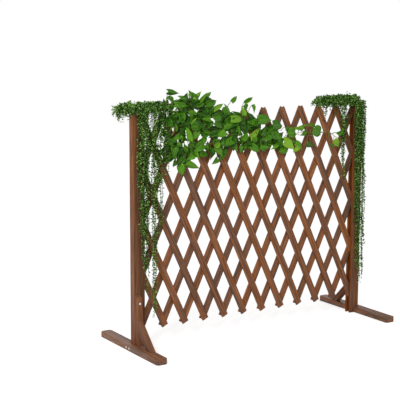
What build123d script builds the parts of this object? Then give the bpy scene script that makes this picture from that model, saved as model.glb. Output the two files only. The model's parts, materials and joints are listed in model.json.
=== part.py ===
from build123d import *
from math import cos, radians, sin, sqrt
import os

os.makedirs("parts", exist_ok=True)

# An expandable wooden fence: a scissor lattice of two layers of slats between two
# grooved posts, each post on its own foot, dressed with three leafy vines.
# Millimetres and degrees. X runs along the fence, -Y is its front, Z is up, and the
# origin is on the floor under the middle of the fence as it stands pulled out.

# ---- Lattice
cell_columns = 11  # diamonds from post to post
cell_rows = 4  # diamonds from the lowest row of rivets to the highest
open_angle = 25.0  # slat against the upright, fence pulled out
slat_width = 28.0
slat_thickness = 6.0
slat_overhang = 15.0  # wood beyond a slat's last rivet
layer_gap = 0.4  # between the front and the back layer
lowest_row_height = 88.5  # lowest row of rivets above the floor
highest_row_drop = 21.2  # highest row of rivets below the posts' tops

# ---- Rivets and the pins that hinge the lattice on its posts
rivet_radius = 1.6
rivet_head_radius = 3.2
rivet_head_height = 1.0
running_clearance = 0.05
hinge_pin_radius = 1.8
hinge_pin_recess = 0.8  # pin ends below the post's faces
seat_clearance = 0.02

# ---- Posts
post_height = 900.0
post_width = 45.0
post_depth = 31.0
post_edge = 2.0  # eased long edges
groove_width = 15.0
groove_depth = 25.0
pivot_inset = 4.0  # hinge line behind the post's grooved face

# ---- Feet
foot_length = 450.0
foot_width = 46.0
foot_thickness = 22.0
foot_corner_clip = 8.0
foot_edge = 1.5
post_set_in = 23.0  # foot's outer face to post's outer face

# ---- Block and brace on the outer half of each post
block_depth = 22.0
block_height = 216.0
block_slope = 13.0
brace_depth = 24.0
brace_angle = 45.0
brace_top_height = 121.0

# ---- Screws
screw_radius = 2.0
screw_head_radius = 4.5
screw_head_height = 2.6
screw_slot_width = 0.9
screw_slot_depth = 1.2
foot_screw_spacing = 23.0
foot_screw_bite = 15.0  # into the post's leg
block_screw_drop = 31.0  # below the block's top
block_screw_bite = 18.0  # into the post

# ---- Vines
vine_clearance = 0.3  # to the wood that carries them
curtain_depth = 24.0
cap_height = 40.0
left_cap_width = 92.0
left_cap_depth = 120.0
left_curtain_width = 146.0
left_curtain_drop = 790.0
right_cap_width = 272.0
right_cap_depth = 62.0
right_curtain_width = 62.0
right_curtain_drop = 780.0
strand_width = 20.0
strand_drop = 330.0
strand_depth = 12.0
strand_gap = 46.0  # from the strand to the right post
garland_depth = 36.0
cut_overrun = 5.0

# What follows from these
last_column = 2 * cell_columns
last_row = 2 * cell_rows
slats_per_layer = cell_columns + cell_rows - 1
row_height = (post_height - highest_row_drop - lowest_row_height) / last_row
rivet_spacing = row_height / cos(radians(open_angle))  # along a slat
half_pitch = rivet_spacing * sin(radians(open_angle))
hinge_line = -last_column * half_pitch / 2  # left end of the lattice, in X
layer_face = layer_gap / 2 + slat_thickness  # outer face of a layer, in Y

post_inner = hinge_line + pivot_inset
post_outer = post_inner - post_width
post_front = -post_depth / 2
foot_outer = post_outer - post_set_in
foot_inner = foot_outer + foot_width
lap_width = foot_inner - post_outer  # the part of a post that stands on its foot
block_face = post_front - block_depth
brace_rise = brace_depth / cos(radians(brace_angle))


def crossing(column, row):
    """Where two slats cross, in X and Z."""
    return hinge_line + column * half_pitch, lowest_row_height + row * row_height


def rows_of(number):
    """First and last row of rivets on a front slat, counted from its lowest tip."""
    return max(0, 2 * number - last_column), min(last_row, 2 * number)


def riveted_rows(number):
    """Rows where a front slat meets a back slat."""
    low, high = rows_of(number)
    return [row for row in range(low, high + 1) if -cell_rows < number - row < cell_columns]


def slat(number, bore_radius):
    """One slat of the front layer, leaning to the left, with its bores."""
    low, high = rows_of(number)
    foot_x, foot_z = crossing(2 * number - low, low)
    run = (high - low) * rivet_spacing
    lean = (-sin(radians(open_angle)), 0, cos(radians(open_angle)))
    face = Plane(origin=(foot_x, -layer_face, foot_z), x_dir=lean, z_dir=(0, 1, 0))
    with BuildPart() as wood:
        with BuildSketch(face):
            with Locations((run / 2, 0)):
                Rectangle(run + 2 * slat_overhang, slat_width)
            with Locations(*[((row - low) * rivet_spacing, 0) for row in riveted_rows(number)]):
                Circle(bore_radius, mode=Mode.SUBTRACT)
            if number == cell_columns:
                Circle(hinge_pin_radius + running_clearance, mode=Mode.SUBTRACT)
        extrude(amount=slat_thickness)
    return wood.part


# Front and back slats. The back layer is the front layer turned half round.
for number in range(1, slats_per_layer + 1):
    front_slat = slat(number, rivet_radius + seat_clearance)
    front_slat.label = f"front_slat_{number:02d}"
    export_step(front_slat, f"parts/front_slat_{number:02d}.step")

    back_number = slats_per_layer + 1 - number
    back_slat = slat(number, rivet_radius + running_clearance).rotate(Axis.Z, 180)
    back_slat.label = f"back_slat_{back_number:02d}"
    export_step(back_slat, f"parts/back_slat_{back_number:02d}.step")

# Rivets: a shank through both layers with a domed head on each face.
dome_radius = (rivet_head_radius**2 + rivet_head_height**2) / (2 * rivet_head_height)
dome_middle = sqrt(dome_radius**2 - (rivet_head_radius / 2) ** 2) - dome_radius + rivet_head_height
front_seat, back_seat = -layer_face, layer_face + running_clearance
with BuildPart() as rivet:
    with BuildSketch(Plane.XY):
        with BuildLine():
            Line((0, front_seat - rivet_head_height), (0, back_seat + rivet_head_height))
            ThreePointArc(
                (0, back_seat + rivet_head_height),
                (rivet_head_radius / 2, back_seat + dome_middle),
                (rivet_head_radius, back_seat),
            )
            Polyline(
                (rivet_head_radius, back_seat),
                (rivet_radius, back_seat),
                (rivet_radius, front_seat),
                (rivet_head_radius, front_seat),
            )
            ThreePointArc(
                (rivet_head_radius, front_seat),
                (rivet_head_radius / 2, front_seat - dome_middle),
                (0, front_seat - rivet_head_height),
            )
        make_face()
    revolve(axis=Axis.Y)

for number in range(1, slats_per_layer + 1):
    places = [crossing(2 * number - row, row) for row in riveted_rows(number)]
    with BuildPart() as slat_rivets:
        with Locations(*[(x, 0, z) for x, z in places]):
            add(rivet.part)
    slat_rivets.part.label = f"slat_rivets_{number:02d}"
    export_step(slat_rivets.part, f"parts/slat_rivets_{number:02d}.step")


def screw(length):
    """A countersunk cross-slot screw that points along -Z, its head's top at the origin."""
    with BuildPart() as body:
        with BuildSketch(Plane.XZ):
            with BuildLine():
                Polyline(
                    (0, 0),
                    (screw_head_radius, 0),
                    (screw_radius, -screw_head_height),
                    (screw_radius, -length + screw_radius),
                    (0, -length),
                    (0, 0),
                )
            make_face()
        revolve(axis=Axis.Z)
        with BuildSketch(Plane.XY):
            Rectangle(screw_head_radius, screw_slot_width)
            Rectangle(screw_slot_width, screw_head_radius)
        extrude(amount=-screw_slot_depth, mode=Mode.SUBTRACT)
    return body.part


def screw_bore(length):
    """The countersunk hole for a screw, a seat's clearance larger."""
    with BuildPart() as bore:
        with BuildSketch(Plane.XZ):
            with BuildLine():
                Polyline(
                    (0, cut_overrun),
                    (screw_head_radius + seat_clearance, cut_overrun),
                    (screw_head_radius + seat_clearance, 0),
                    (screw_radius + seat_clearance, -screw_head_height),
                    (screw_radius + seat_clearance, -length - seat_clearance),
                    (0, -length - seat_clearance),
                    (0, cut_overrun),
                )
            make_face()
        revolve(axis=Axis.Z)
    return bore.part


foot_screw_length = foot_width + foot_screw_bite
block_screw_length = block_depth + block_screw_bite
foot_screw_places = [
    Location((foot_outer, side * foot_screw_spacing / 2, foot_thickness / 2), (0, -90, 0))
    for side in (-1, 1)
]
block_screw_place = Location(
    (post_outer + lap_width / 2, block_face, block_height - block_screw_drop), (90, 0, 0)
)

# Left post: grooved over its whole length towards the lattice, its outer half standing on
# the foot and its inner half reaching down beside the foot as two prongs, one for each
# foot screw.
with BuildPart() as left_post:
    with BuildSketch(Plane.XY):
        with Locations(((post_outer + post_inner) / 2, 0)):
            Rectangle(post_width, post_depth)
    extrude(amount=post_height)
    chamfer(left_post.edges().filter_by(Axis.Z), post_edge)
    with BuildSketch(Plane.XY.offset(-cut_overrun)):
        with Locations((post_inner, 0)):
            Rectangle(2 * groove_depth, groove_width)
    extrude(amount=post_height + 2 * cut_overrun, mode=Mode.SUBTRACT)
    with BuildSketch(Plane.XY):
        with Locations((foot_inner, 0)):
            Rectangle(2 * lap_width, 2 * post_depth, align=(Align.MAX, Align.CENTER))
    extrude(amount=foot_thickness, mode=Mode.SUBTRACT)
    with Locations((hinge_line, 0, lowest_row_height)):
        Cylinder(
            hinge_pin_radius + seat_clearance,
            2 * post_depth,
            rotation=(90, 0, 0),
            mode=Mode.SUBTRACT,
        )
    for place in foot_screw_places:
        add(screw_bore(foot_screw_length).moved(place), mode=Mode.SUBTRACT)
    add(screw_bore(block_screw_length).moved(block_screw_place), mode=Mode.SUBTRACT)

# Left foot: a flat runner across the fence with clipped corners.
with BuildPart() as left_foot:
    with BuildSketch(Plane.XY):
        with Locations(((foot_outer + foot_inner) / 2, 0)):
            Rectangle(foot_width, foot_length)
    extrude(amount=foot_thickness)
    chamfer(left_foot.edges().filter_by(Axis.Z), foot_corner_clip)
    chamfer(left_foot.faces().sort_by(Axis.Z)[-1].edges(), foot_edge)
    for place in foot_screw_places:
        add(screw_bore(foot_screw_length).moved(place), mode=Mode.SUBTRACT)

# Left block: stands on the foot against the post's front and takes the brace.
with BuildPart() as left_block:
    with BuildSketch(Plane.YZ.offset(post_outer)):
        with BuildLine():
            Polyline(
                (post_front, foot_thickness),
                (block_face, foot_thickness),
                (block_face, block_height - block_slope),
                (post_front, block_height),
                (post_front, foot_thickness),
            )
        make_face()
    extrude(amount=lap_width)
    add(screw_bore(block_screw_length).moved(block_screw_place), mode=Mode.SUBTRACT)

# Left brace: slants from the block down to the foot.
brace_reach = (brace_top_height - foot_thickness) * cos(radians(brace_angle))
brace_reach = brace_reach / sin(radians(brace_angle))
brace_root = brace_depth / sin(radians(brace_angle))
with BuildPart() as left_brace:
    with BuildSketch(Plane.YZ.offset(post_outer)):
        with BuildLine():
            Polyline(
                (block_face, brace_top_height),
                (block_face - brace_reach, foot_thickness),
                (block_face - brace_reach + brace_root, foot_thickness),
                (block_face, brace_top_height - brace_rise),
                (block_face, brace_top_height),
            )
        make_face()
    extrude(amount=lap_width)

# Left screws: two through the foot into the post's leg, one through the block.
with BuildPart() as left_screws:
    for place in foot_screw_places:
        add(screw(foot_screw_length).moved(place))
    add(screw(block_screw_length).moved(block_screw_place))

# Left hinge pin: holds the lowest corner of the lattice in the groove.
with BuildPart() as left_hinge_pin:
    with Locations((hinge_line, 0, lowest_row_height)):
        Cylinder(hinge_pin_radius, post_depth - 2 * hinge_pin_recess, rotation=(90, 0, 0))

# The right end is the left end turned half round.
end_pieces = {
    "post": left_post.part,
    "foot": left_foot.part,
    "post_block": left_block.part,
    "brace": left_brace.part,
    "screws": left_screws.part,
    "hinge_pin": left_hinge_pin.part,
}
for name, left_piece in end_pieces.items():
    right_piece = left_piece.rotate(Axis.Z, 180)
    left_piece.label, right_piece.label = f"left_{name}", f"right_{name}"
    export_step(left_piece, f"parts/left_{name}.step")
    export_step(right_piece, f"parts/right_{name}.step")

# Hanging vines: a tuft over the post's top and a curtain down its front. Outlines run
# from the top left corner, as shares of the width to the right and of the drop down.
left_curtain_shares = [
    (0.0, 0.0), (1.0, 0.0), (1.0, 0.26), (0.84, 0.35), (0.68, 0.59), (0.62, 0.76),
    (0.55, 1.0), (0.48, 1.0), (0.43, 0.92), (0.29, 0.87), (0.20, 0.73), (0.12, 0.63),
    (0.0, 0.57),
]
right_curtain_shares = [
    (0.0, 0.0), (1.0, 0.0), (1.0, 0.66), (0.92, 0.84), (0.72, 1.0), (0.55, 0.99),
    (0.28, 0.80), (0.0, 0.60),
]
vine_top = post_height + vine_clearance + cap_height / 2
curtain_back = post_front - vine_clearance


def curtain(left, width, top, drop, shares, back, depth):
    """A flat hanging curtain of strands, its outline given in shares."""
    with BuildPart() as hanging:
        with BuildSketch(Plane.XZ.offset(-back)):
            with BuildLine():
                Polyline(
                    *[(left + across * width, top - down * drop) for across, down in shares],
                    close=True,
                )
            make_face()
        extrude(amount=depth)
    return hanging.part


def tuft(left, width, front, depth):
    """A rounded tuft on a post's flat top, domed like a low loaf."""
    crown_share, shoulder_share = 0.72, 0.62
    base = Plane.XY.offset(post_height + vine_clearance)
    with BuildPart() as loaf:
        for level_share, size_share in (
            (0.0, 1.0),
            (shoulder_share, (1.0 + crown_share) / 2),
            (1.0, crown_share),
        ):
            with BuildSketch(base.offset(level_share * cap_height)):
                with Locations((left + width / 2, front + depth / 2)):
                    RectangleRounded(
                        width * size_share, depth * size_share, cap_height * size_share / 2
                    )
        loft(ruled=True)
    return loaf.part


left_curtain_left = post_outer + pivot_inset
left_cap_left = foot_outer + pivot_inset
curtain_face = curtain_back - curtain_depth
with BuildPart() as left_hanging_vine:
    add(tuft(left_cap_left, left_cap_width, curtain_face, left_cap_depth))
    add(
        curtain(
            left_curtain_left, left_curtain_width, vine_top, left_curtain_drop,
            left_curtain_shares, curtain_back, curtain_depth,
        )
    )
left_hanging_vine.part.label = "left_hanging_vine"
export_step(left_hanging_vine.part, "parts/left_hanging_vine.step")

right_cap_left = -foot_outer - right_cap_width
right_post_inner = -post_inner
with BuildPart() as right_hanging_vine:
    add(tuft(right_cap_left, right_cap_width, curtain_face, right_cap_depth))
    add(
        curtain(
            right_post_inner, right_curtain_width, vine_top, right_curtain_drop,
            right_curtain_shares, curtain_back, curtain_depth,
        )
    )
    add(
        curtain(
            right_post_inner - strand_gap - strand_width, strand_width, vine_top, strand_drop,
            [(0.0, 0.0), (1.0, 0.0), (0.8, 0.8), (0.5, 1.0), (0.2, 0.85)],
            curtain_back, strand_depth,
        )
    )
right_hanging_vine.part.label = "right_hanging_vine"
export_step(right_hanging_vine.part, "parts/right_hanging_vine.step")

# Leafy garland along the top of the lattice, in lengths that are each tied to one
# front slat, so they draw together as the fence folds. For each: the slat, the left
# and right end in cells along the lattice, and the lowest and highest leaf in rows.
garland_spans = [
    (6, 1.36, 3.25, 5.75, 8.8),
    (8, 3.3, 5.3, 6.25, 8.6),
    (10, 5.35, 7.65, 6.25, 7.4),
    (12, 7.7, 10.0, 6.35, 7.4),
]
garland_back = -layer_face - rivet_head_height - vine_clearance
garland_section_shares = [(0.0, 0.45), (0.25, 0.92), (0.5, 1.0), (0.75, 0.88), (1.0, 0.42)]
for order, (slat_number, first_cell, last_cell, low_row, high_row) in enumerate(
    garland_spans, start=1
):
    start_x, low_z = crossing(2 * first_cell, low_row)
    end_x, high_z = crossing(2 * last_cell, high_row)
    with BuildPart() as garland:
        for along_share, size_share in garland_section_shares:
            section = Plane.YZ.offset(start_x + along_share * (end_x - start_x))
            with BuildSketch(section):
                with Locations((garland_back, (low_z + high_z) / 2)):
                    Ellipse(garland_depth * size_share, (high_z - low_z) / 2 * size_share)
                    Rectangle(
                        2 * garland_depth,
                        2 * (high_z - low_z),
                        align=(Align.MIN, Align.CENTER),
                        mode=Mode.SUBTRACT,
                    )
        loft()
    garland.part.label = f"leaf_garland_{order}"
    export_step(garland.part, f"parts/leaf_garland_{order}.step")

print("slat run", round(last_row * rivet_spacing + 2 * slat_overhang, 2))
print("hinge line", round(hinge_line, 3), "row height", round(row_height, 3))
print("post X", round(post_outer, 3), round(post_inner, 3), "foot X", round(foot_outer, 3))
print("top row of rivets", round(lowest_row_height + last_row * row_height, 3))
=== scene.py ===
import json

import bmesh
import bpy
import numpy as np
from math import cos, pi, radians, sin, sqrt
from mathutils import Matrix, Vector

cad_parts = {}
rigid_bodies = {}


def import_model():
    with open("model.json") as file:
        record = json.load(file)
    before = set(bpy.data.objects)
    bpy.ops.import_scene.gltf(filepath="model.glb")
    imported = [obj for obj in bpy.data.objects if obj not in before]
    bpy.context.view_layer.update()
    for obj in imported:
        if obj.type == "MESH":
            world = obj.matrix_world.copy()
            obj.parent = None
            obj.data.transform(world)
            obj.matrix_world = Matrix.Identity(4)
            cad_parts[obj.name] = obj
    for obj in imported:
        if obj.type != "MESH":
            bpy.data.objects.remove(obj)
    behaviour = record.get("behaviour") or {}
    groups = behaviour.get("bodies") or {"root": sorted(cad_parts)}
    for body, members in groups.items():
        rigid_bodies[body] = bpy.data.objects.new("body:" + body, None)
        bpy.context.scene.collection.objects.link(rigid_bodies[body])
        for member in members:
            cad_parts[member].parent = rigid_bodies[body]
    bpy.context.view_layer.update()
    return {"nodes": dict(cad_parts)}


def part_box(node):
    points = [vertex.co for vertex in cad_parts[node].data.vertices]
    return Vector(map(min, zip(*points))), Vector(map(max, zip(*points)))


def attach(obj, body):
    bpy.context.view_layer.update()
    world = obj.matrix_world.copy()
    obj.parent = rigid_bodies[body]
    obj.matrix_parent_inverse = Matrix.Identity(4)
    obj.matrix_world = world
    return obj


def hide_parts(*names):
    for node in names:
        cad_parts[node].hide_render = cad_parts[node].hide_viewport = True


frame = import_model()

# The view of the photograph: a long lens a few metres away, a little above the fence,
# from the left of its front.
view_azimuth, view_elevation, view_roll = radians(-32.239), radians(9.04), radians(0.149)
camera_place = Vector((-2.4404, -3.4757, 1.2039))
focal_px, frame_px, sensor_mm = 1078.2, 400, 36.0
backward = Vector((
    sin(view_azimuth) * cos(view_elevation),
    -cos(view_azimuth) * cos(view_elevation),
    sin(view_elevation),
))
level_right = (-backward).cross(Vector((0, 0, 1))).normalized()
level_up = level_right.cross(-backward)
camera_right = level_right * cos(view_roll) + level_up * sin(view_roll)
camera_up = level_up * cos(view_roll) - level_right * sin(view_roll)
lens = bpy.data.cameras.new("camera")
lens.sensor_width = sensor_mm
lens.lens = focal_px / frame_px * sensor_mm
lens.clip_start, lens.clip_end = 0.1, 60
camera = bpy.data.objects.new("camera", lens)
camera.matrix_world = Matrix.Translation(camera_place) @ Matrix(
    (camera_right, camera_up, backward)
).transposed().to_4x4()
bpy.context.scene.collection.objects.link(camera)
bpy.context.scene.camera = camera


# Posts: sawn and planed softwood, 45 x 31 mm, stained red-brown, grooved from top to bottom
# towards the lattice. The outer half stands on the foot; the inner half laps it as a fork.
def add(tree, kind, wires=(), **settings):
    """A node of a tree, with its settings and with values or sockets on its inputs."""
    made = tree.nodes.new(kind)
    for key, value in settings.items():
        setattr(made, key, value)
    for key, value in dict(wires).items():
        if isinstance(value, bpy.types.NodeSocket):
            tree.links.new(value, made.inputs[key])
        else:
            made.inputs[key].default_value = value
    return made


def maths(tree, operation, *values, kind="ShaderNodeMath"):
    """What an operation makes of numbers."""
    return add(tree, kind, dict(enumerate(values)), operation=operation).outputs[0]


def vectors(tree, operation, *values):
    """What an operation makes of vectors."""
    return maths(tree, operation, *values, kind="ShaderNodeVectorMath")


def ranged(tree, value, to, start=(0.0, 1.0)):
    """A value carried over from one range to another."""
    return add(tree, "ShaderNodeMapRange", {
        "Value": value, "From Min": start[0], "From Max": start[1],
        "To Min": to[0], "To Max": to[1]}).outputs[0]


def ramp(tree, value, stops):
    """Colours along a value, from the places of the stops and the colour at each."""
    made = add(tree, "ShaderNodeValToRGB", {"Fac": value})
    elements = made.color_ramp.elements
    for element, (place, colour) in zip(elements, (stops[0], stops[-1])):
        element.position, element.color = place, (*colour, 1)
    for place, colour in stops[1:-1]:
        elements.new(place).color = (*colour, 1)
    return made.outputs["Color"]


def group_tree(name, kind, takes, gives):
    """A node group with named sockets, what it takes and what it gives."""
    tree = bpy.data.node_groups.new(name, kind)
    for way, sockets in (("INPUT", takes), ("OUTPUT", gives)):
        for label, socket in sockets:
            tree.interface.new_socket(label, in_out=way, socket_type="NodeSocket" + socket)
    took, gave = tree.nodes.new("NodeGroupInput"), tree.nodes.new("NodeGroupOutput")
    return tree, took.outputs, gave.inputs


def new_material(name):
    """A material, its node tree and its surface shader."""
    made = bpy.data.materials.new(name)
    made.use_nodes = True
    return made, made.node_tree, made.node_tree.nodes["Principled BSDF"]


def wood_grain():
    """Bands, streaks, fibres, pores and growth rings that follow a board's own length."""
    tree, took, gave = group_tree(
        "Wood grain", "ShaderNodeTree",
        [("Place", "Vector"), ("Band Width", "Float"), ("Streak Width", "Float")],
        [("Bands", "Float"), ("Streaks", "Float"), ("Fibres", "Float"), ("Pores", "Float"),
         ("Rings", "Float"), ("Height", "Float")])
    place = took["Place"]
    slow = vectors(tree, "MULTIPLY", place, (5, 25, 25))
    wander = add(tree, "ShaderNodeTexNoise", {
        "Vector": slow, "Scale": 1.0, "Detail": 2.0}).outputs["Color"]
    wander = vectors(tree, "SUBTRACT", wander, (0.5, 0.5, 0.5))
    wander = add(tree, "ShaderNodeVectorMath", {0: wander, "Scale": 0.010}, operation="SCALE")
    bent = vectors(tree, "ADD", place, wander.outputs[0])

    def stretched(length, width, detail, rough):
        """Noise drawn out along the board, from the length and width of its waves."""
        waves = add(tree, "ShaderNodeCombineXYZ", {"X": length, "Y": width, "Z": width})
        return add(tree, "ShaderNodeTexNoise", {
            "Vector": vectors(tree, "DIVIDE", bent, waves.outputs[0]), "Scale": 1.0,
            "Detail": detail, "Roughness": rough}).outputs["Fac"]

    bands = stretched(0.40, took["Band Width"], 1.0, 0.5)
    streaks = stretched(0.11, took["Streak Width"], 3.0, 0.55)
    fibres = stretched(0.05, 0.0008, 3.0, 0.6)
    pores = ranged(tree, stretched(0.012, 0.00055, 1.0, 0.5), (0.0, 1.0), start=(0.62, 0.72))
    rings = add(tree, "ShaderNodeTexWave", {
        "Vector": vectors(tree, "MULTIPLY", bent, (0.07, 1, 1)), "Scale": 44.0,
        "Distortion": 5.0, "Detail": 2.0, "Detail Scale": 0.9, "Detail Roughness": 0.5},
        wave_type="RINGS", rings_direction="X", wave_profile="SAW").outputs["Fac"]
    late = maths(tree, "POWER", rings, 3.0)
    height = maths(tree, "MULTIPLY_ADD", fibres, 0.8, late)
    height = maths(tree, "MULTIPLY_ADD", pores, -0.8, height)
    for label, socket in (("Bands", bands), ("Streaks", streaks), ("Fibres", fibres),
                          ("Pores", pores), ("Rings", late), ("Height", height)):
        tree.links.new(socket, gave[label])
    return tree


grain_group = wood_grain()


def stained_wood(name, greyed, rich, band_width, streak_width, ring_depth, gloss=0.04,
                 streak_reach=(0.47, 1.58)):
    """Stained, thinly sealed wood: two browns in long bands, with darker lines in them.

    One attribute paints whole faces paler or darker as painted light and shade, and another takes
    the groove and inner face to a deeper colour as painted shade.
    """
    wood, tree, shader = new_material(name)
    place = add(tree, "ShaderNodeAttribute", attribute_name="grain").outputs["Vector"]
    grain = add(tree, "ShaderNodeGroup", {
        "Place": place, "Band Width": band_width, "Streak Width": streak_width},
        node_tree=grain_group).outputs
    browns = ramp(tree, grain["Bands"], [(0.38, greyed), (0.62, rich)])
    middle = (0.3, 0.7)
    light = ranged(tree, grain["Streaks"], streak_reach, middle)
    for part in (ranged(tree, grain["Fibres"], (0.84, 1.14), middle),
                 ranged(tree, grain["Rings"], (1.06, ring_depth)),
                 ranged(tree, grain["Pores"], (1.0, 0.72))):
        light = maths(tree, "MULTIPLY", light, part)
    # Painted light and shade: whole faces are made paler or darker by how light falls on them.
    stain = add(tree, "ShaderNodeAttribute", attribute_name="stain").outputs["Fac"]
    light = maths(tree, "MULTIPLY_ADD", light, stain, light)
    colour = add(tree, "ShaderNodeVectorMath", {0: browns, "Scale": light},
                 operation="SCALE").outputs[0]
    # Painted shade: a deeper, darker colour for the groove and the inner face, where shade falls.
    deeper = vectors(tree, "MULTIPLY", colour, (1.06, 0.66, 0.25))
    soak = add(tree, "ShaderNodeAttribute", attribute_name="soak").outputs["Fac"]
    colour = add(tree, "ShaderNodeMix", {0: soak, 6: colour, 7: deeper}, data_type="RGBA")
    tree.links.new(colour.outputs[2], shader.inputs["Base Color"])
    dull = ranged(tree, grain["Fibres"], (0.38, 0.56), middle)
    tree.links.new(dull, shader.inputs["Roughness"])
    shader.inputs["Specular IOR Level"].default_value = gloss
    bump = add(tree, "ShaderNodeBump", {
        "Height": grain["Height"], "Strength": 0.45, "Distance": 0.0005})
    tree.links.new(bump.outputs["Normal"], shader.inputs["Normal"])
    return wood


def built_mesh(made, name, smooth=True):
    """A mesh of a built shape, with its faces turned outward."""
    bmesh.ops.recalc_face_normals(made, faces=made.faces)
    mesh = bpy.data.meshes.new(name)
    made.to_mesh(mesh)
    made.free()
    for face in mesh.polygons:
        face.use_smooth = smooth
    return mesh


def prism(outline, axis, low, high):
    """A straight prism: an outline in the other two axes, swept along one axis."""
    made = bmesh.new()
    order = {"X": (2, 0, 1), "Y": (0, 2, 1), "Z": (0, 1, 2)}[axis]
    ends = []
    for level in (low, high):
        corners = [(u, v, level) for u, v in outline]
        ends.append([made.verts.new([c[i] for i in order]) for c in corners])
    made.faces.new(ends[0])
    made.faces.new(ends[1])
    for i in range(len(outline)):
        j = (i + 1) % len(outline)
        made.faces.new((ends[0][i], ends[0][j], ends[1][j], ends[1][i]))
    solid = bpy.data.objects.new("prism", built_mesh(made, "prism", smooth=False))
    bpy.context.scene.collection.objects.link(solid)
    return solid


def bar(xs, ys, low, high):
    """An upright square-cornered bar from its ranges across, given either way round."""
    (a, b), (c, d) = sorted(xs), sorted(ys)
    return prism([(a, c), (b, c), (b, d), (a, d)], "Z", low, high)


def round_hole(place, axis, radius, depth):
    """A many-sided prism for a screw's countersink, centred on a face of the wood."""
    around = [(cos(a), sin(a)) for a in np.linspace(0, 2 * pi, 25)[:-1]]
    flat = {"X": (1, 2), "Y": (0, 2)}[axis]
    level = place["XYZ".index(axis)]
    return prism([(place[flat[0]] + radius * c, place[flat[1]] + radius * s) for c, s in around],
                 axis, level - depth, level + depth)


def ease(body, width, segments, angle):
    """Rounds the edges that are sharper than an angle."""
    step = body.modifiers.new("eased", "BEVEL")
    step.width, step.segments, step.limit_method = width, segments, "ANGLE"
    step.angle_limit = radians(angle)
    step.harden_normals = True


def settle(body):
    """Keeps what an object's modifiers make of it as its own plain mesh."""
    bpy.context.view_layer.update()
    mesh = bpy.data.meshes.new_from_object(
        body.evaluated_get(bpy.context.evaluated_depsgraph_get()))
    mesh.name = body.name
    body.modifiers.clear()
    body.data = mesh
    return mesh


def place_in_log(seed, nearest, farthest):
    """Where a board was sawn: a shift along its log and a place off the heart of it."""
    turn, reach, shift = np.random.default_rng(seed).uniform(
        (0, nearest, -3), (2 * pi, farthest, 3))
    return shift, reach * cos(turn), reach * sin(turn)


def timber(name, node, parts, cuts, along, material, edge=0.0015, seed=0, stain=(0, 0, 0)):
    """A wooden piece: prisms joined, cut, their edges eased, its grain laid along one way.

    Three numbers paint the faces across X, Y and Z paler or darker: painted light and painted
    shade.
    """
    body = parts[0]
    body.name = name
    for tool, how in [(p, "UNION") for p in parts[1:]] + [(c, "DIFFERENCE") for c in cuts]:
        step = body.modifiers.new("cut", "BOOLEAN")
        step.operation, step.solver, step.object = how, "EXACT", tool
    ease(body, edge, 3, 25)
    mesh = settle(body)
    for tool in parts[1:] + cuts:
        bpy.data.objects.remove(tool)
    along = Vector(along).normalized()
    side = along.orthogonal().normalized()
    turned = np.array([v.co for v in mesh.vertices]) @ np.array([along, side, along.cross(side)]).T
    turned += place_in_log(seed, 0.03, 0.07)
    facing = np.abs([v.normal for v in mesh.vertices]).argmax(1)
    mesh.attributes.new("grain", "FLOAT_VECTOR", "POINT").data.foreach_set(
        "vector", turned.ravel())
    mesh.attributes.new("stain", "FLOAT", "POINT").data.foreach_set(
        "value", np.array(stain, np.float32)[facing])
    mesh.materials.clear()
    mesh.materials.append(material)
    for face in mesh.polygons:
        face.use_smooth = True
    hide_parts(node)
    return body


post_wood = stained_wood(
    "stained post wood", (0.212, 0.103, 0.062), (0.303, 0.120, 0.050), 0.014, 0.0034, 0.70,
    streak_reach=(0.60, 1.45))
both_ends = ((1, "left"), (-1, "right"))  # the right end is the left one, turned half round
foot_top, lap_start, overlap = 0.022, 0.023, 0.004
groove_half, groove_depth, overrun, hair = 0.0075, 0.025, 0.02, 0.0001
pin_hole_radius, pin_hole_depth = 0.0019, 0.0012
# Painted light and shade: the left post's faces across X are painted paler and its front and back
# darker; the right post's front is a little darker.
post_face_shading = {"left": (0.16, -0.26, 0), "right": (0, -0.04, 0)}
for turn, side in both_ends:
    low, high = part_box(f"{side}_post")
    outer, inner = (low.x, high.x) if turn == 1 else (high.x, low.x)
    front_back = (low.y, high.y)
    shaft = bar((outer, inner), front_back, foot_top, high.z)
    leg = bar((outer + turn * lap_start, inner), front_back, low.z, foot_top + overlap)
    groove = bar((inner - turn * groove_depth, inner + turn * overrun),
                 (-groove_half, groove_half), low.z - overrun, high.z + overrun)
    pin_low, pin_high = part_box(f"{side}_hinge_pin")
    pin = (pin_low + pin_high) / 2
    pin_holes = [round_hole((pin.x, face, pin.z), "Y", pin_hole_radius, pin_hole_depth)
                 for face in front_back]
    post = timber(f"{side}_grooved_post", f"{side}_post", [shaft, leg], [groove] + pin_holes,
                  (0, 0, 1), post_wood, seed=11 + turn, stain=post_face_shading[side])
    # Painted shade: the inner face and the groove are painted a deeper, darker colour, as shade
    # falls in them.
    in_groove_shade = [abs(v.co.x - inner) < (groove_depth if abs(v.co.y) < groove_half else 0) + hair
              for v in post.data.vertices]
    post.data.attributes.new("soak", "FLOAT", "POINT").data.foreach_set(
        "value", np.array(in_groove_shade, np.float32))
    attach(post, f"{side}_end")

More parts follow.
